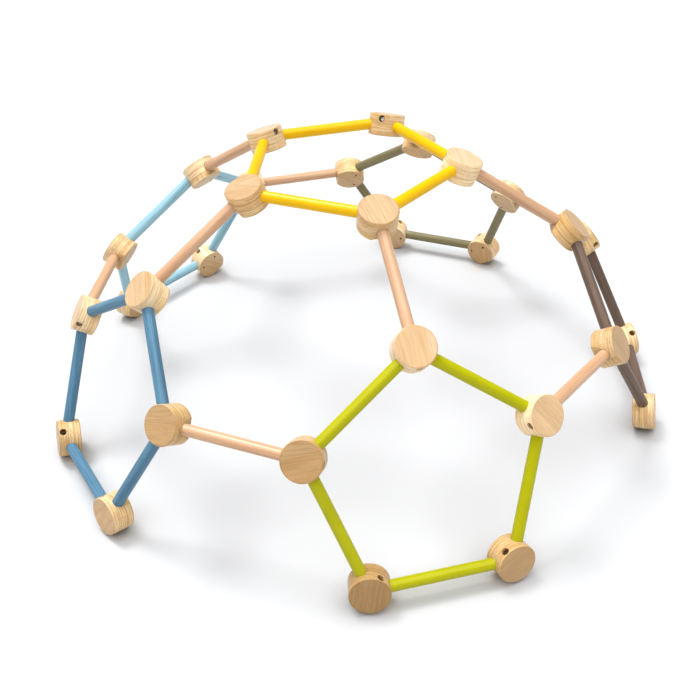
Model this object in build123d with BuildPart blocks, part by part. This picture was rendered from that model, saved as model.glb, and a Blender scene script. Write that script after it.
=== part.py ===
"""Dome climber: a children's climbing frame of thirty wooden hubs and forty round rods.

The frame is the upper half of a truncated icosahedron. A yellow pentagon crowns it, five coloured
pentagons hang round it, and plain struts bolt the pentagons together. Every rod and strut has the
same pitch, and every hub is the same part, its axis pointing away from the dome's centre.

Frame: +Z up, the green pentagon faces -Y, X = 0 is the mirror plane, and the origin is on the floor
at the centre of the footprint. Millimetres.
"""

import os
from math import asin, cos, degrees, pi, radians, sin, tan

from build123d import *

# Overall sizes
rod_pitch = 330.0  # hub centre to hub centre, the same for every rod and strut
rod_diameter = 28.0
rod_end_chamfer = 1.0

# Hub, a short laminated disc
hub_diameter = 94.0
hub_wall = 2.7  # wood left between the bolt's recess and the outer face, at the hub's side
hub_rim_rounding = 3.0
socket_rise = 7.0  # the axes of a hub's rods meet this far above the middle of its thickness
facet_cut = 2.0  # how far the flat that the strut enters is set in from the hub's radius
socket_floor = 20.0  # meeting point to the bottom of each of the three sockets
rod_socket_clearance = 0.15  # radial, a glued fit
rod_end_clearance = 0.2  # glue space at the bottom of a rod socket
strut_socket_clearance = 0.8  # radial, so that a strut slides in by hand

# Strut bolt, M6 with a washer, along the strut's own axis
bolt_diameter = 6.0
bolt_length = 70.0
bolt_head_diameter = 10.0
bolt_head_height = 6.0
bolt_head_rounding = 0.6
bolt_key_size = 5.0  # across the flats of the hexagon socket
bolt_key_depth = 3.2
bolt_tip_chamfer = 0.8
bolt_clearance = 0.3  # radial, in the hub and past the insert
bolt_seat = 32.0  # meeting point to the floor of the recess
washer_diameter = 12.0
washer_thickness = 1.6
washer_clearance = 0.2  # radial, round the bolt
washer_recess_clearance = 2.5  # radial, in the hub's recess

# Threaded insert in each end of a strut
insert_diameter = 10.0
insert_length = 18.0
insert_ridges = 5
insert_ridge_height = 0.7
insert_clearance = 0.1  # radial, outside the insert and between its bore and the bolt
bolt_tip_room = 4.0  # free depth in the strut beyond the bolt's tip

# Locking screw through the inner face of a hub into each rod end
screw_diameter = 4.0
screw_length = 25.0
screw_head_diameter = 6.4
screw_head_height = 2.4
screw_head_rounding = 0.7
screw_tip_length = 4.0
screw_key_size = 2.5
screw_key_depth = 1.3
screw_head_clearance = 0.4  # radial, in its recess
screw_skin = 5.0  # wood left between the recess and the rod
screw_reach = 31.0  # hub axis to the screw
screw_clearance = 0.1  # radial, round the shank

# Worked-out sizes
hub_radius = hub_diameter / 2
rod_radius = rod_diameter / 2
panels = ("green", "brown", "olive", "sky", "blue")
first_panel_azimuth = -90.0
pentagon_corner = 108.0
polyhedron_edge = 3 * rod_pitch  # edge of the icosahedron whose thirds are the rods and struts
polyhedron_radius = polyhedron_edge * sin(2 * pi / 5)


def polyhedron_corner(azimuth, height_share):
    """A corner of the icosahedron, the dome's centre at the origin."""
    height = polyhedron_radius * height_share
    reach = (polyhedron_radius**2 - height**2) ** 0.5
    return Vector(reach * cos(radians(azimuth)), reach * sin(radians(azimuth)), height)


def third(start, end):
    """The hub a third of the way along an icosahedron edge."""
    return start + (end - start) / 3


crown = Vector(0, 0, polyhedron_radius)
azimuths = [first_panel_azimuth + 72 * number for number in range(5)]
upper_corners = [polyhedron_corner(azimuth, 5**-0.5) for azimuth in azimuths]
lower_corners = [polyhedron_corner(azimuth + 36, -(5**-0.5)) for azimuth in azimuths]

# Each pentagon is a list of its five hubs in order, with the corner that they stand round
pentagon_hubs = {"crown": [third(crown, corner) for corner in upper_corners]}
pentagon_corners = {"crown": crown}
for number, panel in enumerate(panels):
    middle = upper_corners[number]
    pentagon_corners[panel] = middle
    pentagon_hubs[panel] = [
        third(middle, crown),
        third(middle, upper_corners[(number + 1) % 5]),
        third(middle, lower_corners[number]),
        third(middle, lower_corners[number - 1]),
        third(middle, upper_corners[number - 1]),
    ]
panel_hub_names = ("apex_hub", "right_side_hub", "right_foot_hub", "left_foot_hub", "left_side_hub")

dome_radius = pentagon_hubs["crown"][0].length
dip = degrees(asin(rod_pitch / 2 / dome_radius))  # each rod leaves its hub this far below square
rod_turn = degrees(asin(sin(radians(pentagon_corner / 2)) / cos(radians(dip))))


def leaving(turn):
    """Direction of a rod or strut leaving a hub, turned from the pentagon's centre."""
    sideways = Vector(cos(radians(turn)), sin(radians(turn)), 0)
    return sideways * cos(radians(dip)) - Vector(0, 0, sin(radians(dip)))


rod_planes = [Plane(origin=(0, 0, 0), z_dir=leaving(turn)) for turn in (-rod_turn, rod_turn)]
strut_plane = Plane(origin=(0, 0, 0), z_dir=leaving(180))
bolt_plane = Plane(origin=(0, 0, 0), z_dir=-leaving(180))
facet_reach = hub_radius - facet_cut
bolt_recess_radius = washer_diameter / 2 + washer_recess_clearance
outer_face_height = hub_radius * tan(radians(dip)) + bolt_recess_radius / cos(radians(dip)) + hub_wall
hub_thickness = 2 * (outer_face_height + socket_rise)
inner_face_height = outer_face_height - hub_thickness
inner_face = Plane(origin=(0, 0, inner_face_height), x_dir=(1, 0, 0), z_dir=(0, 0, -1))
rod_underside = -screw_reach * tan(radians(dip)) - rod_radius / cos(radians(dip))
screw_seat_height = rod_underside - screw_skin
screw_recess_depth = screw_seat_height - inner_face_height

# ---------------------------------------------------------------- hub, outer face on +Z
# Its origin is where the axes of its two rods and its strut meet.
with BuildPart() as hub:
    with BuildSketch(Plane.XY.offset(inner_face_height)):
        Circle(hub_radius)
    extrude(amount=hub_thickness)
    fillet(hub.edges().filter_by(GeomType.CIRCLE), radius=hub_rim_rounding)
    split(bisect_by=strut_plane.offset(facet_reach), keep=Keep.BOTTOM)
    for plane in rod_planes:
        with BuildSketch(plane.offset(socket_floor)):
            Circle(rod_radius + rod_socket_clearance)
        extrude(amount=hub_diameter, mode=Mode.SUBTRACT)
    with BuildSketch(strut_plane.offset(socket_floor)):
        Circle(rod_radius + strut_socket_clearance)
    extrude(amount=hub_diameter, mode=Mode.SUBTRACT)
    with BuildSketch(bolt_plane.offset(bolt_seat)):
        Circle(bolt_recess_radius)
    extrude(amount=hub_diameter, mode=Mode.SUBTRACT)
    with BuildSketch(bolt_plane.offset(-socket_floor)):
        Circle(bolt_diameter / 2 + bolt_clearance)
    extrude(amount=socket_floor + bolt_seat, mode=Mode.SUBTRACT)
    with Locations(inner_face):
        with PolarLocations(screw_reach, 2, -rod_turn, 2 * rod_turn, endpoint=True):
            CounterBoreHole(
                radius=screw_diameter / 2 + screw_clearance,
                counter_bore_radius=screw_head_diameter / 2 + screw_head_clearance,
                counter_bore_depth=screw_recess_depth,
                depth=-inner_face_height,
            )

# ---------------------------------------------------------------- rod and strut, along X, outward on +Z
rod_length = rod_pitch - 2 * (socket_floor + rod_end_clearance)
strut_length = rod_pitch - 2 * socket_floor
screw_along_rod = screw_reach / cos(radians(dip))
screw_tip_height = screw_seat_height + screw_length + screw_along_rod * sin(radians(dip))

with BuildPart() as rod:
    with BuildSketch(Plane.YZ.offset(-rod_length / 2)):
        Circle(rod_radius)
    extrude(amount=rod_length)
    chamfer(rod.edges().filter_by(GeomType.CIRCLE), length=rod_end_chamfer)
    for side in (-1, 1):
        pilot = Plane(
            origin=(side * (rod_pitch / 2 - screw_along_rod), 0, 0),
            z_dir=(side * sin(radians(dip)), 0, cos(radians(dip))),
        )
        with BuildSketch(pilot.offset(-rod_diameter)):
            Circle(screw_diameter / 2 + screw_clearance)
        extrude(amount=rod_diameter + screw_tip_height + screw_clearance, mode=Mode.SUBTRACT)

bolt_reach_in_strut = bolt_length - bolt_seat - washer_thickness - socket_floor

with BuildPart() as strut:
    with BuildSketch(Plane.YZ.offset(-strut_length / 2)):
        Circle(rod_radius)
    extrude(amount=strut_length)
    chamfer(strut.edges().filter_by(GeomType.CIRCLE), length=rod_end_chamfer)
    for side in (-1, 1):
        end = Plane(origin=(side * strut_length / 2, 0, 0), z_dir=(-side, 0, 0))
        with BuildSketch(end):
            Circle(insert_diameter / 2 + insert_clearance)
        extrude(amount=insert_length, mode=Mode.SUBTRACT)
        with BuildSketch(end):
            Circle(bolt_diameter / 2 + bolt_clearance)
        extrude(amount=bolt_reach_in_strut + bolt_tip_room, mode=Mode.SUBTRACT)

# ---------------------------------------------------------------- fasteners, +Z towards the bolt's head
head_seat = bolt_seat + washer_thickness

with BuildPart() as bolt:
    with BuildSketch(Plane.XY.offset(head_seat - bolt_length)):
        Circle(bolt_diameter / 2)
    extrude(amount=bolt_length)
    chamfer(bolt.edges().group_by(Axis.Z)[0], length=bolt_tip_chamfer)
    with BuildSketch(Plane.XY.offset(head_seat)):
        Circle(bolt_head_diameter / 2)
    extrude(amount=bolt_head_height)
    fillet(bolt.edges().group_by(Axis.Z)[-1], radius=bolt_head_rounding)
    with BuildSketch(Plane.XY.offset(head_seat + bolt_head_height)):
        RegularPolygon(bolt_key_size / 2, 6, major_radius=False)
    extrude(amount=-bolt_key_depth, mode=Mode.SUBTRACT)

with BuildPart() as washer:
    with BuildSketch(Plane.XY.offset(bolt_seat)):
        Circle(washer_diameter / 2)
        Circle(bolt_diameter / 2 + washer_clearance, mode=Mode.SUBTRACT)
    extrude(amount=washer_thickness)

ridge_pitch = insert_length / insert_ridges

with BuildPart() as insert:
    with BuildSketch(Plane.XZ):
        with BuildLine():
            outline = [(bolt_diameter / 2 + insert_clearance, -socket_floor)]
            for ridge in range(insert_ridges):
                top = -socket_floor - ridge * ridge_pitch
                outline.append((insert_diameter / 2, top))
                outline.append((insert_diameter / 2, top - ridge_pitch / 2))
                outline.append((insert_diameter / 2 - insert_ridge_height, top - ridge_pitch))
            outline.append((bolt_diameter / 2 + insert_clearance, -socket_floor - insert_length))
            Polyline(*outline, close=True)
        make_face()
    revolve(axis=Axis.Z)

# ---------------------------------------------------------------- locking screw, seat at Z = 0, tip up
with BuildPart() as screw:
    with BuildSketch(Plane.XY.offset(-screw_head_height)):
        Circle(screw_head_diameter / 2)
    extrude(amount=screw_head_height)
    fillet(screw.edges().group_by(Axis.Z)[0], radius=screw_head_rounding)
    with BuildSketch(Plane.XY):
        Circle(screw_diameter / 2)
    extrude(amount=screw_length - screw_tip_length)
    with BuildSketch(Plane.XY.offset(screw_length - screw_tip_length)):
        Circle(screw_diameter / 2)
    with BuildSketch(Plane.XY.offset(screw_length)):
        Circle(screw_diameter / 10)
    loft()
    with BuildSketch(Plane.XY.offset(-screw_head_height)):
        RegularPolygon(screw_key_size / 2, 6, major_radius=False)
    extrude(amount=screw_key_depth, mode=Mode.SUBTRACT)


# ---------------------------------------------------------------- places
def hub_plane(position, pentagon_corner_point, shift):
    """A hub's own plane: +Z away from the dome's centre, +X towards its pentagon's centre."""
    axis = position.normalized()
    inward = pentagon_corner_point - position
    inward = inward - axis * inward.dot(axis)
    return Plane(origin=position + shift, x_dir=inward, z_dir=axis)


def rod_plane(start, end, shift):
    """The plane of a rod or strut between two hubs: +X along it, +Z away from the dome's centre."""
    middle = (start + end) / 2
    return Plane(origin=middle + shift, x_dir=end - start, z_dir=middle.normalized())


# The floor touches the lowest hub rims, and the footprint is centred on the origin
feet = Compound(
    [
        hub.part.moved(hub_plane(pentagon_hubs[panel][foot], pentagon_corners[panel], Vector()).location)
        for panel in panels
        for foot in (2, 3)
    ]
)
footprint = feet.bounding_box()
shift = Vector(0, -(footprint.min.Y + footprint.max.Y) / 2, -footprint.min.Z)

hub_planes = {}
for number, position in enumerate(pentagon_hubs["crown"], start=1):
    hub_planes[f"crown_hub_{number}"] = hub_plane(position, crown, shift)
for panel in panels:
    for position, name in zip(pentagon_hubs[panel], panel_hub_names):
        hub_planes[f"{panel}_{name}"] = hub_plane(position, pentagon_corners[panel], shift)

crown_rod_planes = []
spoke_strut_planes = []
ring_strut_planes = []
panel_rod_planes = {}
for number, panel in enumerate(panels):
    crown_hubs = pentagon_hubs["crown"]
    hubs = pentagon_hubs[panel]
    next_hubs = pentagon_hubs[panels[(number + 1) % 5]]
    crown_rod_planes.append(rod_plane(crown_hubs[number], crown_hubs[(number + 1) % 5], shift))
    spoke_strut_planes.append(rod_plane(crown_hubs[number], hubs[0], shift))
    ring_strut_planes.append(rod_plane(hubs[1], next_hubs[4], shift))
    panel_rod_planes[panel] = [rod_plane(hubs[side], hubs[(side + 1) % 5], shift) for side in range(5)]

bolted_hubs = [name for name in hub_planes if "foot" not in name]
bolt_locations = [hub_planes[name].location * bolt_plane.location for name in bolted_hubs]
screw_locations = [
    plane.location
    * Location((screw_reach * cos(radians(turn)), screw_reach * sin(radians(turn)), screw_seat_height))
    for plane in hub_planes.values()
    for turn in (-rod_turn, rod_turn)
]

# ---------------------------------------------------------------- pieces
os.makedirs("parts", exist_ok=True)

for name, plane in hub_planes.items():
    with BuildPart(plane) as placed_hub:
        add(hub.part)
    placed_hub.part.label = name
    export_step(placed_hub.part, f"parts/{name}.step")

single_rods = {}
for number in range(5):
    single_rods[f"crown_rod_{number + 1}"] = (rod, crown_rod_planes[number])
    single_rods[f"spoke_strut_{number + 1}"] = (strut, spoke_strut_planes[number])
    single_rods[f"ring_strut_{number + 1}"] = (strut, ring_strut_planes[number])
    single_rods[f"{panels[number]}_bottom_rod"] = (rod, panel_rod_planes[panels[number]][2])

for name, (blank, plane) in single_rods.items():
    with BuildPart(plane) as placed_rod:
        add(blank.part)
    placed_rod.part.label = name
    export_step(placed_rod.part, f"parts/{name}.step")

for panel in panels:
    upper_planes = [plane for side, plane in enumerate(panel_rod_planes[panel]) if side != 2]
    with BuildPart() as upper_rods:
        with Locations(*[plane.location for plane in upper_planes]):
            add(rod.part)
    upper_rods.part.label = f"{panel}_upper_rods"
    export_step(upper_rods.part, f"parts/{panel}_upper_rods.step")

with BuildPart() as strut_bolts:
    with Locations(*bolt_locations):
        add(bolt.part)
strut_bolts.part.label = "strut_bolts"
export_step(strut_bolts.part, "parts/strut_bolts.step")

with BuildPart() as bolt_washers:
    with Locations(*bolt_locations):
        add(washer.part)
bolt_washers.part.label = "bolt_washers"
export_step(bolt_washers.part, "parts/bolt_washers.step")

with BuildPart() as threaded_inserts:
    with Locations(*bolt_locations):
        add(insert.part)
threaded_inserts.part.label = "threaded_inserts"
export_step(threaded_inserts.part, "parts/threaded_inserts.step")

with BuildPart() as rod_screws:
    with Locations(*screw_locations):
        add(screw.part)
rod_screws.part.label = "rod_screws"
export_step(rod_screws.part, "parts/rod_screws.step")
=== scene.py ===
"""Dome climber: wood, paint and metal finishes for a frame of thirty hubs and forty round rods.

The frame comes packed, with every piece in place. This file gives each piece its finish and sets a
pale studio stage round it. Sizes are metres, in the frame's own axes: +Z up, the green pentagon faces
-Y, and the origin is on the floor at the centre of the footprint.
"""

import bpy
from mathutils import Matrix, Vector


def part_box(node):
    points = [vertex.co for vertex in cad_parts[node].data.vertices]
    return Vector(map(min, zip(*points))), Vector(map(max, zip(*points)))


bl_info = {
    "name": "Dome Climber Finishes",
    "version": (1, 0, 0),
    "blender": (4, 5, 0),
    "location": "3D View > Sidebar > Dome Climber",
    "description": "Laminated wood, paint, stain and metal for a climbing dome, with a studio stage",
    "category": "Material",
}

from math import cos, floor, pi, radians, sin
from random import Random

import bpy
from bpy.props import FloatProperty, FloatVectorProperty, IntProperty, PointerProperty
from mathutils import Color, Matrix, Quaternion, Vector

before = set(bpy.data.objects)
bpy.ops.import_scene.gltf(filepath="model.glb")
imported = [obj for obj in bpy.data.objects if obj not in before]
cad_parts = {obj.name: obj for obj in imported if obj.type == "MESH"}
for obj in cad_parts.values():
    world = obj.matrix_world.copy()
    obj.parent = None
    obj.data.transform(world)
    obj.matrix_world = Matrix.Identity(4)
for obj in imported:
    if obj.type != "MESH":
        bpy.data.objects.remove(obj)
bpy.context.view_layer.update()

# Names and sizes that the frame was made with
panels = ("green", "brown", "olive", "sky", "blue")
panel_hub_names = ("apex_hub", "right_side_hub", "right_foot_hub", "left_foot_hub", "left_side_hub")
first_panel_azimuth = -90.0
panel_turn = 72.0  # from one pentagon's azimuth to the next one's
rod_end_inset = 0.0202  # where the axes of a hub's rods meet, to the end of a glued rod
rod_radius = 0.014
hub_radius = 0.047
hub_thickness = 0.0561
socket_rise = 0.007  # the rods' axes meet this far above the middle of the hub's thickness
hub_middle = -socket_rise
hub_inner_face = hub_middle - hub_thickness / 2

# The bottom rod of the green pentagon lies along X, so its box gives the pitch of every rod
bottom_rod_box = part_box("green_bottom_rod")
pitch = bottom_rod_box[1].x - bottom_rod_box[0].x + 2 * rod_end_inset

# The dome is cut from an icosahedron whose edges are three pitches long
polyhedron_radius = 3 * pitch * sin(2 * pi / 5)
ring_height_share = 5**-0.5  # how far up and down its two rings of corners are, as a share of its radius

# The studio. A light's direction is from the climber towards the light
camera_place = Vector((-0.499, -2.103, 1.684))
camera_aim = Vector((-0.009, 0.026, 0.115))
camera_roll = radians(1.88)
overhead_direction = Vector((-0.05, -0.12, 1.0))
overhead_spread = radians(85)
key_direction = Vector((-0.24, 0.43, 1.0))
key_spread = radians(20)


# ---------------------------------------------------------------- places of the hubs and rods
def polyhedron_corner(azimuth, height_share):
    """A corner of the icosahedron that the dome is cut from, its centre at the origin."""
    height = polyhedron_radius * height_share
    reach = (polyhedron_radius**2 - height**2) ** 0.5
    return Vector((reach * cos(radians(azimuth)), reach * sin(radians(azimuth)), height))


def third(start, end):
    """The hub a third of the way along an icosahedron edge."""
    return start.lerp(end, 1 / 3)


def axes_place(x_axis, z_axis, origin):
    """A place with +Z along one direction and +X as near as it can be to another."""
    z_axis = z_axis.normalized()
    x_axis = (x_axis - z_axis * x_axis.dot(z_axis)).normalized()
    axes = Matrix((x_axis, z_axis.cross(x_axis), z_axis)).transposed()
    return Matrix.Translation(origin) @ axes.to_4x4()


def rod_place(start, end, shift):
    """The place of a rod or strut: +X along it, +Z away from the dome's centre."""
    middle = (start + end) / 2
    outward = middle.normalized()
    along = (end - start).normalized()
    axes = Matrix((along, outward.cross(along), outward)).transposed()
    return Matrix.Translation(middle + shift) @ axes.to_4x4()


def frame_places():
    """The places of every hub, rod and strut, by node name. A node of four rods has four places."""
    crown = Vector((0, 0, polyhedron_radius))
    azimuths = [first_panel_azimuth + panel_turn * number for number in range(5)]
    upper = [polyhedron_corner(azimuth, ring_height_share) for azimuth in azimuths]
    lower = [polyhedron_corner(azimuth + panel_turn / 2, -ring_height_share) for azimuth in azimuths]
    crown_hubs = [third(crown, corner) for corner in upper]
    panel_hubs = []
    for number in range(5):
        middle = upper[number]
        around = (crown, upper[(number + 1) % 5], lower[number], lower[number - 1], upper[number - 1])
        panel_hubs.append([third(middle, corner) for corner in around])

    bottom_rod_middle = (bottom_rod_box[0] + bottom_rod_box[1]) / 2
    shift = bottom_rod_middle - (panel_hubs[0][2] + panel_hubs[0][3]) / 2

    hubs = {}
    rods = {}
    for number, panel in enumerate(panels):
        following = (number + 1) % 5
        hub = crown_hubs[number]
        hubs[f"crown_hub_{number + 1}"] = axes_place(crown - hub, hub, hub + shift)
        for hub, name in zip(panel_hubs[number], panel_hub_names):
            hubs[f"{panel}_{name}"] = axes_place(upper[number] - hub, hub, hub + shift)
        rods[f"crown_rod_{number + 1}"] = [rod_place(crown_hubs[number], crown_hubs[following], shift)]
        rods[f"spoke_strut_{number + 1}"] = [rod_place(crown_hubs[number], panel_hubs[number][0], shift)]
        ring_ends = (panel_hubs[number][1], panel_hubs[following][4])
        rods[f"ring_strut_{number + 1}"] = [rod_place(*ring_ends, shift)]
        sides = [
            rod_place(panel_hubs[number][side], panel_hubs[number][(side + 1) % 5], shift)
            for side in range(5)
        ]
        rods[f"{panel}_bottom_rod"] = [sides[2]]
        rods[f"{panel}_upper_rods"] = sides[:2] + sides[3:]
    return hubs, rods


hub_places, rod_places = frame_places()


# ---------------------------------------------------------------- shader maths
class Shade:
    """One socket of a material's nodes, so that shader maths reads as a Python expression."""

    def __init__(self, finish, socket):
        self.finish = finish
        self.socket = socket

    def maths(self, operation, *values):
        return self.finish.node("ShaderNodeMath", {"operation": operation}, dict(enumerate(values)))

    def __add__(self, other):
        return self.maths("ADD", self, other)

    def __radd__(self, other):
        return self.maths("ADD", other, self)

    def __sub__(self, other):
        return self.maths("SUBTRACT", self, other)

    def __rsub__(self, other):
        return self.maths("SUBTRACT", other, self)

    def __mul__(self, other):
        return self.maths("MULTIPLY", self, other)

    def __rmul__(self, other):
        return self.maths("MULTIPLY", other, self)

    def __truediv__(self, other):
        return self.maths("DIVIDE", self, other)

    def __pow__(self, other):
        return self.maths("POWER", self, other)

    def __lt__(self, other):
        return self.maths("LESS_THAN", self, other)

    def __abs__(self):
        return self.maths("ABSOLUTE", self)

    def __floor__(self):
        return self.maths("FLOOR", self)


class Finish:
    """The nodes of a material, or of the world, all of them added by one method."""

    def __init__(self, owner):
        owner.use_nodes = True
        self.owner = owner
        self.tree = owner.node_tree
        self.tree.nodes.clear()

    def node(self, kind, settings=None, inputs=None, output=0):
        """Adds a node, sets it up, fills its sockets with values or links, and returns one output."""
        node = self.tree.nodes.new(kind)
        for name, value in (settings or {}).items():
            setattr(node, name, value)
        for key, value in (inputs or {}).items():
            if isinstance(value, Shade):
                self.tree.links.new(value.socket, node.inputs[key])
            else:
                node.inputs[key].default_value = value
        return Shade(self, node.outputs[output]) if node.outputs else None

    def local(self, place):
        """The surface point in a place's own axes."""
        position = self.node("ShaderNodeTexCoord", output="Object")
        inputs = {"Vector": position, "Location": place.translation, "Rotation": place.to_euler("XYZ")}
        return self.node("ShaderNodeMapping", {"vector_type": "TEXTURE"}, inputs)

    def split(self, vector):
        """The three numbers of a vector."""
        parts = self.node("ShaderNodeSeparateXYZ", inputs={"Vector": vector}).socket.node.outputs
        return [Shade(self, part) for part in parts]

    def vector(self, operation, first, second, output=0):
        return self.node("ShaderNodeVectorMath", {"operation": operation}, {0: first, 1: second}, output)

    def shaded(self, colour, share):
        """A colour made lighter or darker by a share."""
        return self.node("ShaderNodeVectorMath", {"operation": "SCALE"}, {0: colour, "Scale": share})

    def chance(self, number):
        """A number from 0 to 1 that is always the same for the same number."""
        return self.node("ShaderNodeTexWhiteNoise", {"noise_dimensions": "1D"}, {"W": number})

    def noise(self, point, per_metre, detail=2.0, roughness=0.55):
        """Smooth noise with so many features to the metre along each axis of the point."""
        stretched = self.vector("MULTIPLY", point, per_metre)
        inputs = {"Vector": stretched, "Scale": 1.0, "Detail": detail, "Roughness": roughness}
        return self.node("ShaderNodeTexNoise", {"noise_dimensions": "3D"}, inputs)

    def step(self, value, low, high):
        """0 where a value is under low, 1 where it is over high, smooth between."""
        inputs = {"Value": value, "From Min": low, "From Max": high}
        return self.node("ShaderNodeMapRange", {"interpolation_type": "SMOOTHSTEP"}, inputs)

    def blend(self, amount, first, second):
        """A colour between two colours, each a socket or three numbers."""
        first, second = [c if isinstance(c, Shade) else (*c, 1.0) for c in (first, second)]
        return self.node("ShaderNodeMix", {"data_type": "RGBA"}, {0: amount, 6: first, 7: second}, 2)

    def relief(self, height, strength, distance):
        """A normal that follows a height."""
        inputs = {"Height": height, "Strength": strength, "Distance": distance}
        return self.node("ShaderNodeBump", inputs=inputs)

    def surface(self, **sockets):
        """Ends the material in one shader. An underscore in a socket's name stands for a space."""
        inputs = {name.replace("_", " "): value for name, value in sockets.items()}
        shader = self.node("ShaderNodeBsdfPrincipled", inputs=inputs)
        self.node("ShaderNodeOutputMaterial", inputs={"Surface": shader})
        return self.owner


def new_finish(name):
    return Finish(bpy.data.materials.new(name))


def linear(colour):
    """A picked colour as the shader wants it."""
    return Color(colour).from_srgb_to_scene_linear()


def dress(node, material):
    """Puts a material in every slot of a frame node."""
    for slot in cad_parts[node].material_slots:
        slot.material = material


# ---------------------------------------------------------------- sizes and colours
def colour_property(name, description, default):
    return FloatVectorProperty(
        name=name, description=description, default=default, subtype="COLOR_GAMMA", min=0.0, max=1.0
    )


def length_property(name, description, default):
    return FloatProperty(
        name=name, description=description, default=default, min=0.0001, unit="LENGTH", precision=4
    )


def share_property(name, description, default):
    return FloatProperty(
        name=name, description=description, default=default, min=0.0, max=1.0, subtype="FACTOR"
    )


def strength_property(name, description, default):
    return FloatProperty(name=name, description=description, default=default, min=0.0)


class HubWood(bpy.types.PropertyGroup):
    """The laminated wood of the hubs."""

    pale: colour_property("Pale Wood", "Early wood of the palest boards", (0.98, 0.915, 0.785))
    warm: colour_property("Warm Wood", "Early wood of the warmest boards", (0.94, 0.80, 0.565))
    ring: colour_property("Ring Lines", "Late wood of the growth rings", (0.785, 0.58, 0.33))
    glue: colour_property("Glue Lines", "Thin lines between layers and boards", (0.58, 0.41, 0.25))
    layer_count: IntProperty(
        name="Layers", description="Layers glued up through a hub's thickness", default=3, min=1, max=8
    )
    board_width: length_property("Board Width", "Width of the boards glued edge to edge", 0.058)
    ring_spacing: length_property("Ring Spacing", "Distance from one growth ring to the next", 0.0045)
    glue_width: length_property("Glue Line Width", "Width of the line at each joint", 0.0006)
    lacquer: share_property("Lacquer", "Strength of the clear coat", 0.35)
    grain_seed: IntProperty(name="Grain Seed", description="Changes how the boards were cut", default=11)


class RodFinishes(bpy.types.PropertyGroup):
    """The painted and stained rods of the six pentagons."""

    yellow: colour_property("Crown Yellow", "Paint of the crown's rods", (0.94, 0.755, 0.02))
    green: colour_property("Green", "Paint of the green pentagon", (0.72, 0.715, 0.02))
    brown: colour_property("Brown", "Stain of the brown pentagon", (0.42, 0.345, 0.295))
    olive: colour_property("Olive", "Stain of the olive pentagon", (0.49, 0.46, 0.33))
    sky: colour_property("Sky", "Stain of the sky pentagon", (0.565, 0.71, 0.76))
    blue: colour_property("Blue", "Stain of the blue pentagon", (0.33, 0.49, 0.585))
    streak_width: length_property("Streak Width", "Width of the grain streaks in a stain", 0.0024)
    paint_gloss: share_property("Paint Gloss", "Strength of the coat on paint", 0.45)
    stain_gloss: share_property("Stain Gloss", "Strength of the coat on stain", 0.22)


class StrutWood(bpy.types.PropertyGroup):
    """The plain beech struts."""

    beech: colour_property("Beech", "Body of the wood", (0.82, 0.685, 0.56))
    fleck: colour_property("Flecks", "Short dark flecks along the grain", (0.76, 0.55, 0.41))
    fleck_width: length_property("Fleck Width", "Width of a fleck", 0.0005)
    lacquer: share_property("Lacquer", "Strength of the clear coat", 0.35)


class Metals(bpy.types.PropertyGroup):
    """The fasteners."""

    bolt: colour_property("Bolts", "Bright zinc of the bolts", (0.93, 0.93, 0.92))
    washer: colour_property("Washers", "Bright zinc of the washers", (0.90, 0.90, 0.89))
    screw: colour_property("Screws", "Dark zinc of the locking screws", (0.13, 0.12, 0.11))
    brass: colour_property("Inserts", "Brass of the threaded inserts", (0.83, 0.66, 0.36))


class StudioStage(bpy.types.PropertyGroup):
    """The floor, the lights and the camera."""

    floor: colour_property("Floor", "Pale matt floor", (0.795, 0.80, 0.81))
    floor_size: length_property("Floor Size", "Length of each side of the floor", 60.0)
    surround: strength_property("Surround", "Strength of the even light from above", 0.20)
    backdrop: strength_property("Backdrop", "Strength of the even light low down", 0.66)
    overhead: strength_property("Overhead", "Strength of the large light above", 1.9)
    key: strength_property("Key", "Strength of the smaller light above", 0.95)
    lens: FloatProperty(
        name="Lens", description="Focal length of the camera", default=49.24, min=1.0, unit="CAMERA"
    )
    exposure: FloatProperty(name="Exposure", description="Exposure of the view, in stops", default=0.7)
    gamma: FloatProperty(
        name="Gamma", description="Gamma of the view, lower for deeper shadows", default=0.85, min=0.1
    )


# ---------------------------------------------------------------- wood of the hubs
grain_turns = {  # turn of the grain on the outer face, from the pentagon's centre, in degrees
    "crown_hub_1": 10.0,
    "green_apex_hub": 3.0,
    "green_left_side_hub": 20.0,
    "green_right_foot_hub": 80.0,
}
wood_depths = {  # hubs cut from darker or paler wood, as a share of the usual lightness
    "green_left_foot_hub": 0.72,
    "green_right_foot_hub": 0.86,
    "green_left_side_hub": 0.84,
    "green_right_side_hub": 1.14,
    "green_apex_hub": 1.04,
    "crown_hub_1": 0.93,
    "crown_hub_2": 1.12,
    "blue_right_side_hub": 0.86,
    "blue_apex_hub": 1.02,
    "blue_left_foot_hub": 0.86,
    "brown_apex_hub": 0.86,
    "brown_left_side_hub": 0.88,
}
# Metres in from a hub's side or faces, over which a mark comes in or goes out
rim_band = (0.0005, 0.0035)
bore_side_band = (0.002, 0.007)
bore_face_band = (0.001, 0.004)
# Painted shade: deeper into a bore than this, the wood is darkened further
deep_bore_shade_band = (0.009, 0.013)
hub_features = {  # features to the metre along the grain, across it and through the layers
    "slow drift": (6.0, 24.0, 24.0),
    "fibres": (60.0, 800.0, 800.0),
    "fine lines": (9.0, 250.0, 250.0),
    "patches": (9.0, 55.0, 70.0),
    "side bands": (10.0, 13.0, 270.0),
    "resin": (34.0, 260.0, 260.0),
}


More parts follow.
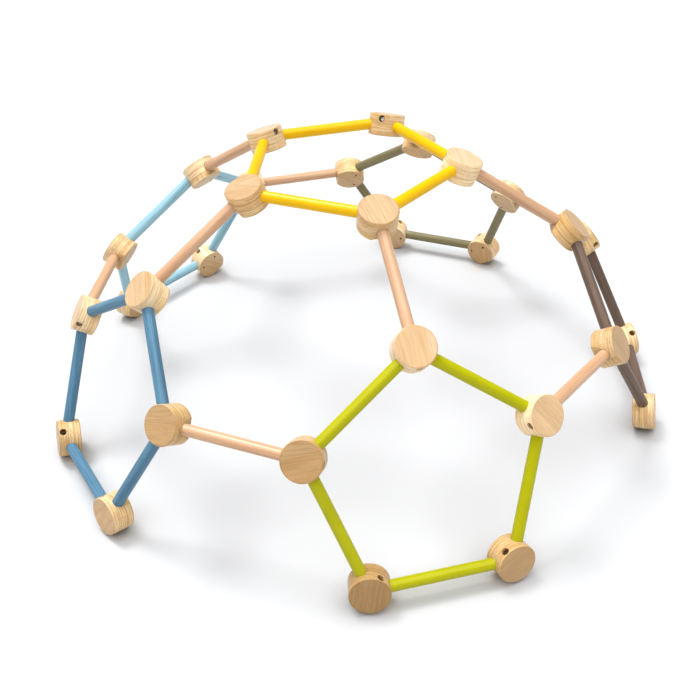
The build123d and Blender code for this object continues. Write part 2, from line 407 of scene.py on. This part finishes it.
def rim_and_bore_shade(finish, along, across, height):
    """How far a point is on a rim burnished by sanding, inside a bore, whose wood is darkened as bare
    wood and by painted shade, and deep inside one, where painted shade darkens it more.
    """
    from_side = hub_radius - (along * along + across * across) ** 0.5
    from_face = hub_thickness / 2 - abs(height - hub_middle)
    rim = (1 - finish.step(from_side, *rim_band)) * (1 - finish.step(from_face, *rim_band))
    bore_bare_and_painted_shade = finish.step(from_side, *bore_side_band) * finish.step(from_face, *bore_face_band)
    # Painted shade that grows deeper inside a bore
    deep = bore_bare_and_painted_shade * finish.step(from_side, *deep_bore_shade_band)
    return rim, bore_bare_and_painted_shade, deep


def joint_line(finish, count, width, glue_width):
    """1 at each joint between layers or boards, counted off at such a width, and 0 away from it."""
    from_joint = abs(count - floor(count + 0.5)) * width
    return 1 - finish.step(from_joint, glue_width * 0.3, glue_width)


def hub_finish(name, place, wood):
    """Laminated pine under clear lacquer: layers through the thickness, boards glued edge to edge."""
    draws = Random(f"{name} {wood.grain_seed}")
    grain_turn = grain_turns.get(name, draws.uniform(-90, 90))
    board_shift = draws.uniform(-0.5, 0.5)
    hub_number = draws.uniform(0, 500)
    wood_depth = wood_depths.get(name, draws.uniform(0.92, 1.03))
    ring_contrast = draws.uniform(0.30, 0.55) * (1.7 - wood_depth)
    grain_place = place @ Matrix.Rotation(radians(grain_turn), 4, "Z")

    finish = new_finish(f"{name}_wood")
    local = finish.local(grain_place)
    along, across, height = finish.split(local)
    own = finish.vector("ADD", local, (hub_number, 0.0, hub_number))

    # Which layer and which board
    layer_thickness = hub_thickness / wood.layer_count
    layers_up = (height - hub_inner_face) / layer_thickness
    layer = floor(layers_up)
    boards_across = across / wood.board_width + layer * 0.41 + board_shift
    board = floor(boards_across)
    piece = layer * 17.0 + board * 5.0 + hub_number
    tone = finish.chance(piece)
    cut = finish.chance(piece + 0.37)

    # Growth rings round a heart that each board was cut some way from
    slow = finish.noise(own, hub_features["slow drift"], detail=2.0)
    heart_side = (cut - 0.5) * 0.09
    heart_depth = 0.085 - abs(cut - 0.5) * 0.06
    heart_tilt = (tone - 0.5) * 0.12
    sideways = (boards_across - board - 0.5) * wood.board_width - heart_side
    depth = (layers_up - layer - 0.5) * layer_thickness + heart_depth + along * heart_tilt
    ring = (sideways * sideways + depth * depth) ** 0.5 / wood.ring_spacing + (slow - 0.5) * 3.0
    phase = ring - floor(ring)
    ring_strength = finish.chance(floor(ring) * 3.1 + hub_number) * 0.8 + 0.2
    late_wood = finish.step(phase, 0.40, 0.82) * (1 - finish.step(phase, 0.86, 1.0)) * ring_strength

    # Fibres, lines, patches and resin along the grain, and bands round the side
    fibre = finish.noise(own, hub_features["fibres"], detail=5.0)
    line = finish.step(finish.noise(own, hub_features["fine lines"], detail=4.0), 0.38, 0.70)
    patch = finish.step(finish.noise(own, hub_features["patches"], detail=2.0), 0.50, 0.78)
    band = finish.step(finish.noise(own, hub_features["side bands"], detail=2.0), 0.42, 0.66)
    resin = finish.step(finish.noise(own, hub_features["resin"], detail=2.0), 0.68, 0.76)

    # Where the surface is: at a joint, across the grain, on the side, on a rim or in a bore
    layer_glue = joint_line(finish, layers_up, layer_thickness, wood.glue_width)
    board_glue = joint_line(finish, boards_across, wood.board_width, wood.glue_width)
    normal = finish.node("ShaderNodeNewGeometry", output="Normal")
    grain_axis, _, face_axis = grain_place.to_3x3().col
    end_grain = finish.step(abs(finish.vector("DOT_PRODUCT", normal, grain_axis, 1)), 0.55, 1.0)
    on_side = 1 - finish.step(abs(finish.vector("DOT_PRODUCT", normal, face_axis, 1)), 0.30, 0.80)
    rim, bore_bare_and_painted_shade, deep = rim_and_bore_shade(finish, along, across, height)

    # Colour, built up from the bare boards. Paler hubs have fainter grain
    warmth = finish.step(tone * 0.45 + (1.12 - wood_depth) * 1.8, 0.0, 1.0)
    face_grain = line * (0.36 - on_side * 0.20) + patch * 0.18
    grain = (face_grain + band * on_side * 0.62) * (1.75 - wood_depth)
    rings = late_wood * (on_side * 0.9 + 0.8) * ring_contrast
    joints = layer_glue * 0.50 + board_glue * 0.20 + rim * 0.40
    boards = finish.blend(warmth, linear(wood.pale), linear(wood.warm))
    grained = finish.blend(grain, boards, linear(wood.ring))
    ringed = finish.blend(rings, grained, linear(wood.ring))
    resined = finish.blend(resin * 0.45, ringed, linear(wood.glue))
    glued = finish.blend(joints, resined, linear(wood.glue))
    dullness = fibre * 0.28 + (slow - 0.5) * 0.25 + (end_grain + on_side) * 0.06
    # Bores are darkened as bare unlacquered wood, with painted shade on top that grows deeper inside
    # them
    lightness = 1.18 - dullness - bore_bare_and_painted_shade * 0.28 - deep * 0.35
    colour = finish.shaded(glued, lightness * wood_depth)

    relief = fibre * 0.5 + late_wood * 0.3 - layer_glue * 1.1 - board_glue * 0.6
    return finish.surface(
        Base_Color=colour,
        Roughness=0.40 + fibre * 0.12 + end_grain * 0.08,
        Normal=finish.relief(relief, 0.22, 0.0003),
        Specular_IOR_Level=0.3,
        Coat_Weight=wood.lacquer,
        Coat_Roughness=0.12,
    )


# ---------------------------------------------------------------- paint, stain and beech of the rods
def rod_local(finish, places):
    """The point along and across whichever rod of a node it is on, shifted so that no grain repeats."""
    local = None
    for number, place in enumerate(places):
        here = finish.local(place)
        own = finish.vector("ADD", here, (0.0, 0.61 * number, 0.37 * number))
        if local is None:
            local = own
            continue
        along, sideways, outward = finish.split(here)
        near_axis = (sideways * sideways + outward * outward) < (1.2 * rod_radius) ** 2
        inside = near_axis * (abs(along) < pitch / 2)
        settings = {"data_type": "VECTOR"}
        local = finish.node("ShaderNodeMix", settings, {0: inside, 4: local, 5: own}, 1)
    return finish.vector("ADD", local, places[0].translation * 3.7)


def paint_finish(name, places, paint, gloss):
    """Thick smooth paint: a little orange peel, with the wood's grain just telling through."""
    finish = new_finish(f"{name}_paint")
    local = rod_local(finish, places)
    grain = finish.noise(local, (14.0, 420.0, 420.0), detail=3.0)
    peel = finish.noise(local, (330.0, 330.0, 330.0), detail=1.0)
    cloud = finish.noise(local, (16.0, 30.0, 30.0), detail=2.0)
    deep = [channel * 0.82 for channel in linear(paint)]
    colour = finish.blend(finish.step(cloud, 0.25, 0.8) * 0.4 + grain * 0.16, linear(paint), deep)
    return finish.surface(
        Base_Color=colour,
        Roughness=0.30 + peel * 0.10,
        Specular_IOR_Level=0.1,
        Normal=finish.relief(grain * 0.35 + peel * 0.5, 0.18, 0.0002),
        Coat_Weight=gloss,
        Coat_Roughness=0.08,
    )


def stain_finish(name, places, stain, rods):
    """Coloured stain that the grain shows through as darker and lighter streaks."""
    finish = new_finish(f"{name}_stain")
    local = rod_local(finish, places)
    streaks = 1 / rods.streak_width
    broad = finish.noise(local, (5.0, streaks * 0.30, streaks * 0.30), detail=2.0)
    streak = finish.noise(local, (9.0, streaks, streaks), detail=4.0, roughness=0.65)
    pores = finish.step(finish.noise(local, (95.0, 1700.0, 1700.0), detail=2.0), 0.56, 0.72)
    dark = [channel * 0.55 for channel in linear(stain)]
    light = [channel * 1.30 + 0.014 for channel in linear(stain)]
    base = finish.blend(finish.step(streak, 0.34, 0.66), light, linear(stain))
    shaded = finish.blend(finish.step(broad, 0.45, 0.75) * 0.45, base, dark)
    colour = finish.blend(pores * 0.35, shaded, dark)
    return finish.surface(
        Base_Color=colour,
        Roughness=0.40 + streak * 0.16,
        Specular_IOR_Level=0.3,
        Normal=finish.relief(streak * 0.6 - pores * 0.7, 0.25, 0.0003),
        Coat_Weight=rods.stain_gloss,
        Coat_Roughness=0.16,
    )


def beech_finish(name, places, struts):
    """Steamed beech: pink and even, with short dark flecks along the grain."""
    finish = new_finish(f"{name}_beech")
    local = rod_local(finish, places)
    flecks = 1 / struts.fleck_width
    broad = finish.noise(local, (5.0, 120.0, 120.0), detail=3.0)
    fibre = finish.noise(local, (60.0, flecks * 0.8, flecks * 0.8), detail=2.0)
    fleck = finish.step(finish.noise(local, (240.0, flecks, flecks), detail=1.0), 0.60, 0.70)
    body = linear(struts.beech)
    warm = (body[0] * 0.86, body[1] * 0.74, body[2] * 0.64)
    streaked = finish.blend(finish.step(broad, 0.38, 0.66) * 0.75 + fibre * 0.12, body, warm)
    colour = finish.blend(fleck * 0.55, streaked, linear(struts.fleck))
    return finish.surface(
        Base_Color=colour,
        Roughness=0.42 + fibre * 0.14,
        Normal=finish.relief(fibre * 0.5 - fleck * 0.6, 0.22, 0.0003),
        Coat_Weight=struts.lacquer,
        Coat_Roughness=0.18,
    )


# ---------------------------------------------------------------- metal of the fasteners
def metal_finish(name, metal, roughness, tarnish):
    """Plated metal: tumbled scratches, a mottled plating and a little tarnish."""
    finish = new_finish(f"{name}_metal")
    position = finish.node("ShaderNodeTexCoord", output="Object")
    mottle = finish.noise(position, (260.0, 260.0, 260.0), detail=3.0)
    scratch = finish.noise(position, (500.0, 3600.0, 3600.0), detail=2.0)
    dull = [channel * (1 - tarnish) for channel in linear(metal)]
    colour = finish.blend(finish.step(mottle, 0.35, 0.70), linear(metal), dull)
    return finish.surface(
        Base_Color=colour,
        Metallic=1.0,
        Roughness=roughness + mottle * 0.14,
        Normal=finish.relief(scratch, 0.15, 0.0001),
    )


# ---------------------------------------------------------------- operators
class FinishHubs(bpy.types.Operator):
    """Gives each hub its own laminated wood, with the grain turned as that hub was glued up"""

    bl_idname = "dome_climber.finish_hubs"
    bl_label = "Finish Hubs"

    def execute(self, context):
        for name, place in hub_places.items():
            dress(name, hub_finish(name, place, context.scene.dome_hub_wood))
        return {"FINISHED"}


class PaintCrownRods(bpy.types.Operator):
    """Paints the five rods of the crown yellow"""

    bl_idname = "dome_climber.paint_crown_rods"
    bl_label = "Paint Crown Rods"

    def execute(self, context):
        rods = context.scene.dome_rods
        for number in range(5):
            name = f"crown_rod_{number + 1}"
            dress(name, paint_finish(name, rod_places[name], rods.yellow, rods.paint_gloss))
        return {"FINISHED"}


class PaintGreenRods(bpy.types.Operator):
    """Paints the five rods of the green pentagon"""

    bl_idname = "dome_climber.paint_green_rods"
    bl_label = "Paint Green Rods"

    def execute(self, context):
        rods = context.scene.dome_rods
        for name in ("green_upper_rods", "green_bottom_rod"):
            dress(name, paint_finish(name, rod_places[name], rods.green, rods.paint_gloss))
        return {"FINISHED"}


class StainPanelRods(bpy.types.Operator):
    """Stains the rods of the brown, olive, sky and blue pentagons"""

    bl_idname = "dome_climber.stain_panel_rods"
    bl_label = "Stain Panel Rods"

    def execute(self, context):
        rods = context.scene.dome_rods
        for panel in panels[1:]:
            for name in (f"{panel}_upper_rods", f"{panel}_bottom_rod"):
                dress(name, stain_finish(name, rod_places[name], getattr(rods, panel), rods))
        return {"FINISHED"}


class FinishStruts(bpy.types.Operator):
    """Gives the ten plain struts their beech"""

    bl_idname = "dome_climber.finish_struts"
    bl_label = "Finish Struts"

    def execute(self, context):
        for kind in ("spoke", "ring"):
            for number in range(5):
                name = f"{kind}_strut_{number + 1}"
                dress(name, beech_finish(name, rod_places[name], context.scene.dome_strut_wood))
        return {"FINISHED"}


class PlateBolts(bpy.types.Operator):
    """Plates the strut bolts in bright zinc"""

    bl_idname = "dome_climber.plate_bolts"
    bl_label = "Plate Bolts"

    def execute(self, context):
        dress("strut_bolts", metal_finish("strut_bolts", context.scene.dome_metals.bolt, 0.20, 0.18))
        return {"FINISHED"}


class PlateWashers(bpy.types.Operator):
    """Plates the washers under the bolts' heads"""

    bl_idname = "dome_climber.plate_washers"
    bl_label = "Plate Washers"

    def execute(self, context):
        dress("bolt_washers", metal_finish("bolt_washers", context.scene.dome_metals.washer, 0.26, 0.22))
        return {"FINISHED"}


class PlateScrews(bpy.types.Operator):
    """Plates the locking screws of the rods in dark zinc"""

    bl_idname = "dome_climber.plate_screws"
    bl_label = "Plate Screws"

    def execute(self, context):
        dress("rod_screws", metal_finish("rod_screws", context.scene.dome_metals.screw, 0.55, 0.35))
        return {"FINISHED"}


class FinishInserts(bpy.types.Operator):
    """Gives the threaded inserts in the struts their brass"""

    bl_idname = "dome_climber.finish_inserts"
    bl_label = "Finish Inserts"

    def execute(self, context):
        brass = context.scene.dome_metals.brass
        dress("threaded_inserts", metal_finish("threaded_inserts", brass, 0.28, 0.30))
        return {"FINISHED"}


# ---------------------------------------------------------------- the studio
def add_floor(stage):
    """A large pale floor that the feet stand on."""
    half = stage.floor_size / 2
    corners = [(-half, -half, 0), (half, -half, 0), (half, half, 0), (-half, half, 0)]
    mesh = bpy.data.meshes.new("studio_floor")
    mesh.from_pydata(corners, [], [(0, 1, 2, 3)])
    finish = new_finish("studio_floor_finish")
    position = finish.node("ShaderNodeTexCoord", output="Object")
    cloud = finish.noise(position, (1.5, 1.5, 1.5), detail=2.0)
    pale = linear(stage.floor)
    faint = [channel * 0.98 for channel in pale]
    mesh.materials.append(finish.surface(Base_Color=finish.blend(cloud, pale, faint), Roughness=0.75))
    floor = bpy.data.objects.new("studio_floor", mesh)
    bpy.context.scene.collection.objects.link(floor)


def add_soft_light(name, direction, spread, strength):
    """A far soft light, whose spread sets how soft its shadows are."""
    light = bpy.data.lights.new(name, "SUN")
    light.angle = spread
    light.energy = strength
    holder = bpy.data.objects.new(name, light)
    holder.rotation_mode = "QUATERNION"
    holder.rotation_quaternion = direction.to_track_quat("Z", "Y")
    bpy.context.scene.collection.objects.link(holder)


def add_surround(stage):
    """Even white light from all round, brightest low down, where it is also the backdrop."""
    surround = Finish(bpy.data.worlds.new("studio_surround"))
    direction = surround.node("ShaderNodeTexCoord", output="Generated")
    up = surround.split(direction)[2]
    low = 1 - surround.step(up, 0.05, 0.35)
    strength = low * (stage.backdrop - stage.surround) + stage.surround
    inputs = {"Color": (1.0, 1.0, 1.0, 1.0), "Strength": strength}
    light = surround.node("ShaderNodeBackground", inputs=inputs)
    surround.node("ShaderNodeOutputWorld", inputs={"Surface": light})
    bpy.context.scene.world = surround.owner


def add_camera(lens):
    """The camera, in front of the green pentagon and a little to its left, looking down."""
    forward = (camera_aim - camera_place).normalized()
    camera = bpy.data.cameras.new("studio_camera")
    camera.lens = lens
    camera.sensor_width = 36.0
    holder = bpy.data.objects.new("studio_camera", camera)
    holder.location = camera_place
    holder.rotation_mode = "QUATERNION"
    holder.rotation_quaternion = Quaternion(forward, camera_roll) @ forward.to_track_quat("-Z", "Y")
    bpy.context.scene.collection.objects.link(holder)
    bpy.context.scene.camera = holder


class SetStage(bpy.types.Operator):
    """Adds the pale floor, the soft studio lights and the camera"""

    bl_idname = "dome_climber.set_stage"
    bl_label = "Set Stage"

    def execute(self, context):
        stage = context.scene.dome_stage
        add_floor(stage)
        add_surround(stage)
        add_soft_light("overhead_light", overhead_direction, overhead_spread, stage.overhead)
        add_soft_light("key_light", key_direction, key_spread, stage.key)
        add_camera(stage.lens)
        context.scene.view_settings.view_transform = "Standard"
        context.scene.view_settings.exposure = stage.exposure
        context.scene.view_settings.gamma = stage.gamma
        return {"FINISHED"}


class ClimberPanel(bpy.types.Panel):
    """Lists the steps that finish the climber, with the sizes and colours they use"""

    bl_idname = "VIEW3D_PT_dome_climber"
    bl_label = "Dome Climber"
    bl_space_type = "VIEW_3D"
    bl_region_type = "UI"
    bl_category = "Dome Climber"

    def draw(self, context):
        for step in steps:
            self.layout.operator(step.bl_idname)
        for name, group in groups.items():
            box = self.layout.box()
            box.label(text=group.__doc__)
            for prop in group.__annotations__:
                box.prop(getattr(context.scene, name), prop)


groups = {
    "dome_hub_wood": HubWood,
    "dome_rods": RodFinishes,
    "dome_strut_wood": StrutWood,
    "dome_metals": Metals,
    "dome_stage": StudioStage,
}
steps = (
    FinishHubs,
    PaintCrownRods,
    PaintGreenRods,
    StainPanelRods,
    FinishStruts,
    PlateBolts,
    PlateWashers,
    PlateScrews,
    FinishInserts,
    SetStage,
)


def register():
    for made in (*groups.values(), *steps, ClimberPanel):
        bpy.utils.register_class(made)
    for name, group in groups.items():
        setattr(bpy.types.Scene, name, PointerProperty(type=group))


def unregister():
    for name in groups:
        delattr(bpy.types.Scene, name)
    for made in (ClimberPanel, *reversed(steps), *reversed(groups.values())):
        bpy.utils.unregister_class(made)


def main():
    register()
    bpy.ops.dome_climber.finish_hubs()
    bpy.ops.dome_climber.paint_crown_rods()
    bpy.ops.dome_climber.paint_green_rods()
    bpy.ops.dome_climber.stain_panel_rods()
    bpy.ops.dome_climber.finish_struts()
    bpy.ops.dome_climber.plate_bolts()
    bpy.ops.dome_climber.plate_washers()
    bpy.ops.dome_climber.plate_screws()
    bpy.ops.dome_climber.finish_inserts()
    bpy.ops.dome_climber.set_stage()


if __name__ == "__main__":
    main()
